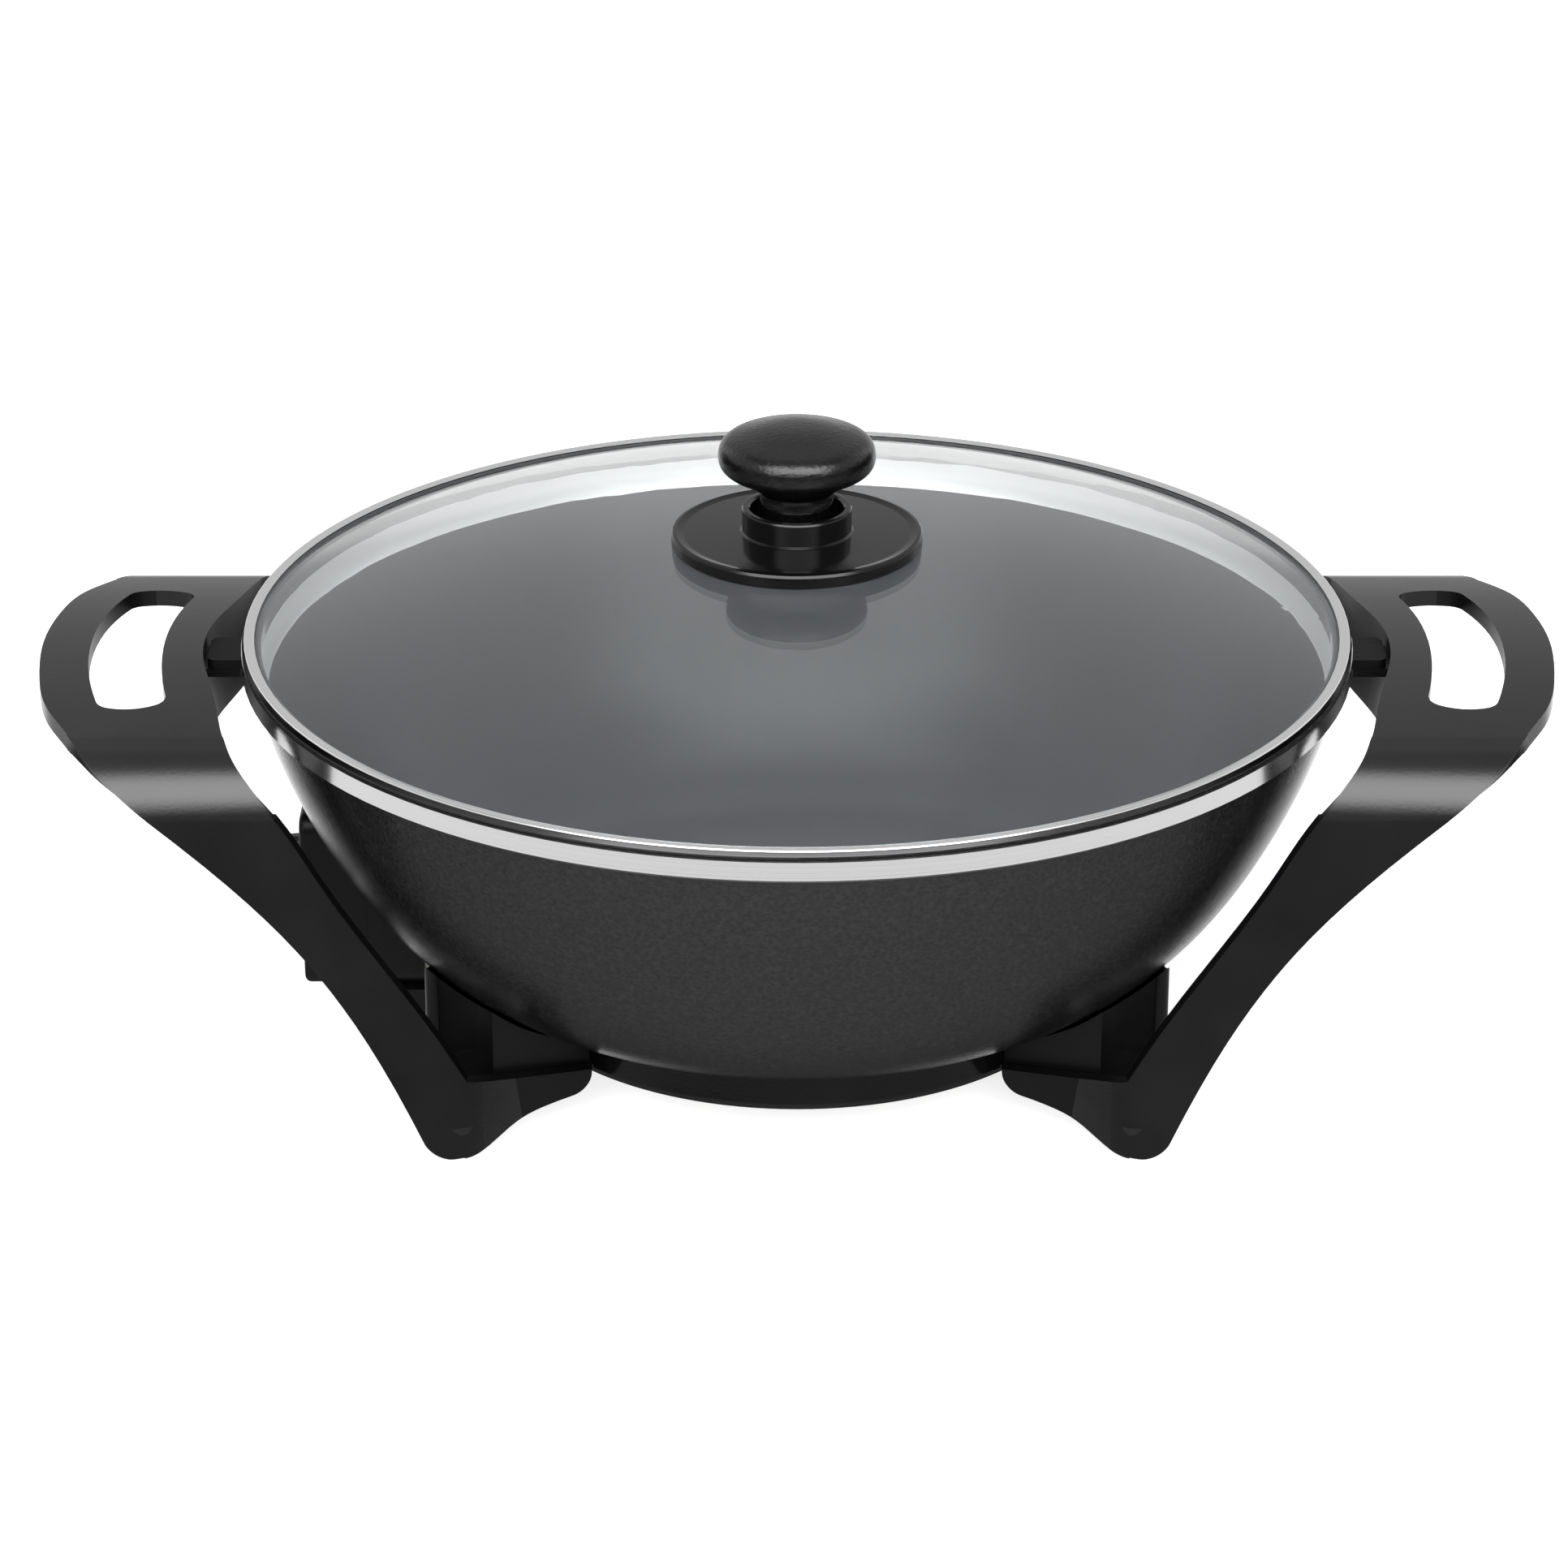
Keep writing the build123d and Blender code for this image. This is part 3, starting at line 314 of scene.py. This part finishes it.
def rim_material():
    """The lid's steel band: bright lip, a satin outer face painted dark as a reflection of dark
    surroundings, and a painted shadow line along its foot.
    """
    nodes = Nodes("rim_steel")
    lip = polished_metal(nodes, (0.92, 0.92, 0.925), 0.10)
    # painted reflection: the same polished steel, coloured dark where the face reflects dark
    # surroundings
    face = polished_metal(nodes, (0.08, 0.08, 0.082), 0.16)
    place = nodes.place()
    z = nodes.split(place)[2]
    grain = nodes.noise(place, 500.0, 3.0)
    # painted shadow: a near-black line for the gap along the band's foot
    gap_shadow = nodes.surface(nodes.tint(grain, (0.004, 0.004, 0.004), (0.010, 0.010, 0.010)),
                         nodes.ramp(grain, 0.45, 0.6), nodes.bump(grain, 0.02 * MM))
    below_lip = nodes.mix(nodes.math("LESS_THAN", z, gap_shadow_top), face, gap_shadow)
    return nodes.done(nodes.mix(nodes.math("LESS_THAN", z, face_top), lip, below_lip))


def knob_material():
    """Knob: satin phenolic with a fine leather-like grain, glossy and smooth on its neck."""
    nodes = Nodes("knob_black")
    place = nodes.place()
    grain = nodes.cells(place, 900.0)
    wrinkle = nodes.noise(place, 700.0, 4.0, 0.6, (1.0, 1.0, 2.2))
    relief = nodes.math("ADD", grain, wrinkle)
    shade = nodes.tint(nodes.ramp(relief, 0, 1, 0.4, 1.3), (0.0006, 0.0006, 0.0006),
                       (0.003, 0.003, 0.0031))
    satin = nodes.surface(shade, nodes.ramp(wrinkle, 0.20, 0.27, 0.35, 0.7),
                          nodes.bump(relief, 0.09 * MM), IOR=1.45)
    gloss = nodes.surface(shade, nodes.ramp(wrinkle, 0.08, 0.12, 0.35, 0.7),
                          nodes.bump(wrinkle, 0.01 * MM), IOR=1.5)
    on_neck = nodes.math("LESS_THAN", nodes.split(place)[2], neck_top)
    return nodes.done(nodes.mix(on_neck, satin, gloss))


def metal_material(name, color, rough):
    """The polished metal as a material of its own."""
    nodes = Nodes(name)
    return nodes.done(polished_metal(nodes, color, rough))


def dull_metal(name, dark, light, rough):
    """Rolled or pressed metal with a mottled, slightly tarnished surface."""
    nodes = Nodes(name)
    place = nodes.place()
    mottle = nodes.noise(place, 90.0, 5.0, 0.6)
    scratch = nodes.noise(place, 300.0, 2.0, 0.5, (1.0, 0.08, 1.0))
    return nodes.done(nodes.surface(nodes.tint(mottle, dark, light),
                                    nodes.ramp(mottle, rough, rough + 0.15, 0.3, 0.7),
                                    nodes.bump(scratch, 0.02 * MM), Metallic=1.0))


def glass_material(name, color):
    """Clear glass that lets the lamps' light through, with faint waviness."""
    nodes = Nodes(name)
    place = nodes.place()
    wave = nodes.noise(place, 12.0, 1.0)
    smear = nodes.noise(place, 30.0, 4.0)
    glass = nodes.surface(color, nodes.ramp(smear, 0.0, 0.012, 0.45, 0.8),
                          nodes.bump(wave, 0.03 * MM), Transmission_Weight=1.0, IOR=1.48)
    clear = nodes.add("ShaderNodeBsdfTransparent")
    clear.inputs["Color"].default_value = (*color, 1)
    ray = nodes.add("ShaderNodeLightPath")
    return nodes.done(nodes.mix(ray.outputs["Is Shadow Ray"], glass, clear.outputs[0]))


def soft_material(name, dark, light, rough):
    """Rubber, silicone or ceramic: matte, with a fine sprinkled grain."""
    nodes = Nodes(name)
    fine = nodes.noise(nodes.place(), 500.0, 4.0, 0.6)
    return nodes.done(nodes.surface(nodes.tint(fine, dark, light),
                                    nodes.ramp(fine, rough, rough + 0.12, 0.3, 0.7),
                                    nodes.bump(fine, 0.04 * MM)))


def lens_material():
    """The pilot lamp's lens: clear red plastic, faintly cloudy."""
    nodes = Nodes("lens_red")
    cloud = nodes.noise(nodes.place(), 300.0, 2.0)
    return nodes.done(nodes.surface(nodes.tint(cloud, (0.42, 0.012, 0.008), (0.60, 0.03, 0.015)),
                                    nodes.ramp(cloud, 0.08, 0.16), Subsurface_Weight=0.3))


materials = {
    "pan_coat": pan_material(),
    "element_steel": dull_metal("element_steel", (0.20, 0.18, 0.16), (0.42, 0.39, 0.36), 0.34),
    "pin_steel": metal_material("pin_steel", (0.74, 0.73, 0.72), 0.18),
    "ceramic": soft_material("ceramic", (0.62, 0.58, 0.50), (0.78, 0.74, 0.66), 0.55),
    "screw_steel": dull_metal("screw_steel", (0.38, 0.38, 0.39), (0.62, 0.62, 0.63), 0.24),
    "gloss_black": plastic_material("gloss_black", (0.001, 0.001, 0.001), (0.002, 0.002, 0.002),
                                    0.10, 1200.0, 0.01, 0.05, 1.38),
    "satin_black": handle_material(),
    "pad_rubber": soft_material("pad_rubber", (0.012, 0.012, 0.012), (0.030, 0.030, 0.030), 0.7),
    "contact_brass": dull_metal("contact_brass", (0.55, 0.38, 0.14), (0.80, 0.60, 0.28), 0.22),
    "lens_red": lens_material(),
    "lamp_glass": glass_material("lamp_glass", (0.98, 0.86, 0.78)),
    "dial_black": plastic_material("dial_black", (0.012, 0.012, 0.013), (0.022, 0.022, 0.024),
                                   0.30, 1100.0, 0.03),
    "lid_glass": glass_material("lid_glass", (0.965, 0.98, 0.985)),
    "rim_steel": rim_material(),
    "gasket_rubber": soft_material("gasket_rubber", (0.020, 0.021, 0.022), (0.045, 0.046, 0.048),
                                   0.5),
    "knob_black": knob_material(),
}


def dress_nodes():
    """Give each carried-over node the material of its slot in the record."""
    for entry in frame["record"]["subparts"]:
        node = frame["nodes"][entry["node"]]
        material = materials[entry["material_slot"]]
        if not node.material_slots:
            node.data.materials.append(material)
        for slot in node.material_slots:
            slot.material = material


# ---- printed marks on the control ----
def add_mesh(name, solids, material, body):
    """One object made of small closed solids, each a list of corners with its faces."""
    mesh = bpy.data.meshes.new(name)
    build = bmesh.new()
    for corners, faces in solids:
        points = [build.verts.new(corner) for corner in corners]
        for face in faces:
            build.faces.new([points[index] for index in face])
    bmesh.ops.recalc_face_normals(build, faces=build.faces)
    build.to_mesh(mesh)
    build.free()
    mesh.materials.append(material)
    thing = bpy.data.objects.new(name, mesh)
    scene.collection.objects.link(thing)
    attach(thing, body)


def raised_shape(outline, back, rise, share):
    """A flat shape in Y and Z that rises from back towards -X, narrowing to a share of its size."""
    count = len(outline)
    mid_y = sum(y for y, z in outline) / count
    mid_z = sum(z for y, z in outline) / count
    shrunk = [(mid_y + (y - mid_y) * share, mid_z + (z - mid_z) * share) for y, z in outline]
    corners = [(back, y, z) for y, z in outline] + [(back - rise, y, z) for y, z in shrunk]
    faces = [list(range(count)), list(range(2 * count - 1, count - 1, -1))]
    faces += [[i, (i + 1) % count, count + (i + 1) % count, count + i] for i in range(count)]
    return corners, faces


def make_marks():
    """Raised ticks round the dial, the first one long, and a pointer on the case above it."""
    center_y = (dial_low[1] + dial_high[1]) / 2
    center_z = (dial_low[2] + dial_high[2]) / 2
    reach = (dial_high[2] - dial_low[2]) / 2
    sunk = 0.05 * MM                          # a mark's back lies this far under the surface
    ink = plastic_material("mark_white", (0.70, 0.70, 0.69), (0.80, 0.80, 0.79), 0.45)

    tick_count, tick_apart = 10, 30           # degrees between two ticks
    outer = reach - 1.6 * MM
    ticks = []
    for step in range(tick_count):
        turn = math.radians(90 - step * tick_apart)
        length, half = (1.6 * MM, 0.55 * MM) if step == 0 else (1.1 * MM, 0.3 * MM)
        inner = outer - length
        out_y, out_z = math.cos(turn), math.sin(turn)
        outline = [(center_y + out_y * r - out_z * w, center_z + out_z * r + out_y * w)
                   for r, w in ((inner, -half), (inner, half), (outer, half), (outer, -half))]
        ticks.append(raised_shape(outline, dial_low[0] + sunk, 0.2 * MM, 0.85))
    add_mesh("dial_ticks", ticks, ink, "dial_knob")

    foot = dial_high[2] + 1.2 * MM            # the pointer's tip, above the dial
    half, top = 1.5 * MM, foot + 2.6 * MM
    outline = [(center_y, foot), (center_y + half, top), (center_y - half, top)]
    pointer = raised_shape(outline, housing_low[0] + sunk, 0.25 * MM, 0.8)
    add_mesh("dial_pointer", [pointer], ink, "control")


# ---- stage ----
def make_floor():
    """A large pale floor, lit up from within as a light table is; reflections don't show it."""
    radius = 9.0
    mesh = bpy.data.meshes.new("floor")
    build = bmesh.new()
    bmesh.ops.create_circle(build, cap_ends=True, segments=96, radius=radius)
    build.to_mesh(mesh)
    build.free()
    floor = bpy.data.objects.new("floor", mesh)
    scene.collection.objects.link(floor)
    nodes = Nodes("floor_paper")
    tone = nodes.noise(nodes.place(), 3.0, 2.0)
    mesh.materials.append(nodes.done(nodes.surface(
        nodes.tint(tone, (0.42, 0.42, 0.42), (0.45, 0.45, 0.45)), 0.9,
        Emission_Color=(1, 1, 1, 1), Emission_Strength=0.78)))
    floor.visible_glossy = False


# Radiance of each part of the studio, against 1 for white paper.
BACK_WALL = 0.68         # behind
BACK_TOP = 0.15          # behind, where the wall turns overhead
HORIZON_CARD = 0.42      # what a card adds to the wall, up to just over the horizon
CARD_FRONT = 0.86        # the grey card below, at its front end
CARD_BACK = 0.13         # and at its back end
STRIP = 0.95             # a strip all round, a little under the eye
DIM_LOW = 0.15           # in front, level with the object
DIM_HIGH = 0.05          # and above that
SIDE_WALL = 0.9
CEILING = 0.7
SOFT_BOX = 9.5           # in front and above


def make_world():
    """A studio painted on the world by direction: a wall, a card or a lamp for each of them."""
    nodes = Nodes("studio", bpy.data.worlds, "ShaderNodeOutputWorld")
    scene.world = nodes.owner

    def fade(value, start, end, low=0.0, high=1.0):
        return nodes.ramp(value, low, high, start, end, "SMOOTHSTEP")

    def total(first, *others):
        for other in others:
            first = nodes.math("ADD", first, other)
        return first

    def product(first, *others):
        for other in others:
            first = nodes.math("MULTIPLY", first, other)
        return first

    x, y, z = nodes.split(nodes.add("ShaderNodeTexCoord").outputs["Generated"])
    side = nodes.math("ABSOLUTE", x)

    # Behind: white up to just over the horizon, grey and wider above it.
    back = total(y, product(nodes.math("MAXIMUM", z, 0.0), 0.5))
    behind = product(fade(back, 0.68, 0.82), total(fade(z, 0.04, 0.14, HORIZON_CARD, 0.0),
                                                   fade(z, 0.80, 1.00, BACK_WALL, BACK_TOP)))
    # Below: a grey card, darker backwards, with a dark gap between it and the back wall.
    edge = total(y, nodes.math("MAXIMUM", nodes.math("SUBTRACT", side, 0.37), 0.0))
    slope = nodes.ramp(y, CARD_FRONT, CARD_BACK, -0.65, 0.45)
    below = product(fade(edge, 0.66, 0.58), slope, fade(z, -0.46, -0.54))
    # All round, a little under the eye: the white strip that the bare rim shows.
    strip = product(fade(z, -0.48, -0.44), fade(z, -0.27, -0.31, 0.0, STRIP))
    # In front, level with the object: dim.
    level = product(fade(y, 0.0, -0.3), fade(z, -0.31, -0.25),
                    fade(z, 0.05, 0.25, DIM_LOW, DIM_HIGH))
    # In front and above: one broad soft box, 42 degrees up.
    toward_y, toward_z = -0.743, 0.669
    plane = nodes.math("MAXIMUM", nodes.radius(y, z), 0.001)
    toward = nodes.math("DIVIDE", total(product(y, toward_y), product(z, toward_z)), plane)
    over = product(fade(side, 0.76, 0.50), fade(toward, 0.85, 0.99), SOFT_BOX)
    # At both sides above the horizon: white walls.
    walls = product(fade(side, 0.45, 0.75, 0.0, SIDE_WALL), fade(z, 0.04, 0.22))
    # Overhead: a grey ceiling.
    ceiling = product(fade(z, 0.80, 0.92, 0.0, CEILING), fade(side, 0.60, 0.40))

    room = nodes.add("ShaderNodeBackground")
    nodes.link(total(behind, strip, below, walls, ceiling, level, over), room.inputs["Strength"])
    # The camera sees plain white paper instead.
    paper = nodes.add("ShaderNodeBackground")
    paper.inputs["Color"].default_value = (1, 1, 1, 1)
    paper.inputs["Strength"].default_value = 1.0
    seen = nodes.add("ShaderNodeLightPath").outputs["Is Camera Ray"]
    nodes.done(nodes.mix(seen, room.outputs[0], paper.outputs[0]))


def make_lamp():
    """A soft lamp overhead for the light itself; its own reflection stays out of sight."""
    data = bpy.data.lights.new("overhead", "AREA")
    data.shape = "RECTANGLE"
    data.size, data.size_y = 1.6, 1.2
    data.energy = 22.0
    lamp = bpy.data.objects.new("overhead", data)
    target = Vector((0, 0, 0.1))
    lamp.location = (0.0, -0.35, 2.2)
    lamp.rotation_euler = (target - lamp.location).to_track_quat("-Z", "Y").to_euler()
    lamp.visible_glossy = False
    scene.collection.objects.link(lamp)


make_camera()
dress_nodes()
make_marks()
make_floor()
make_world()
make_lamp()
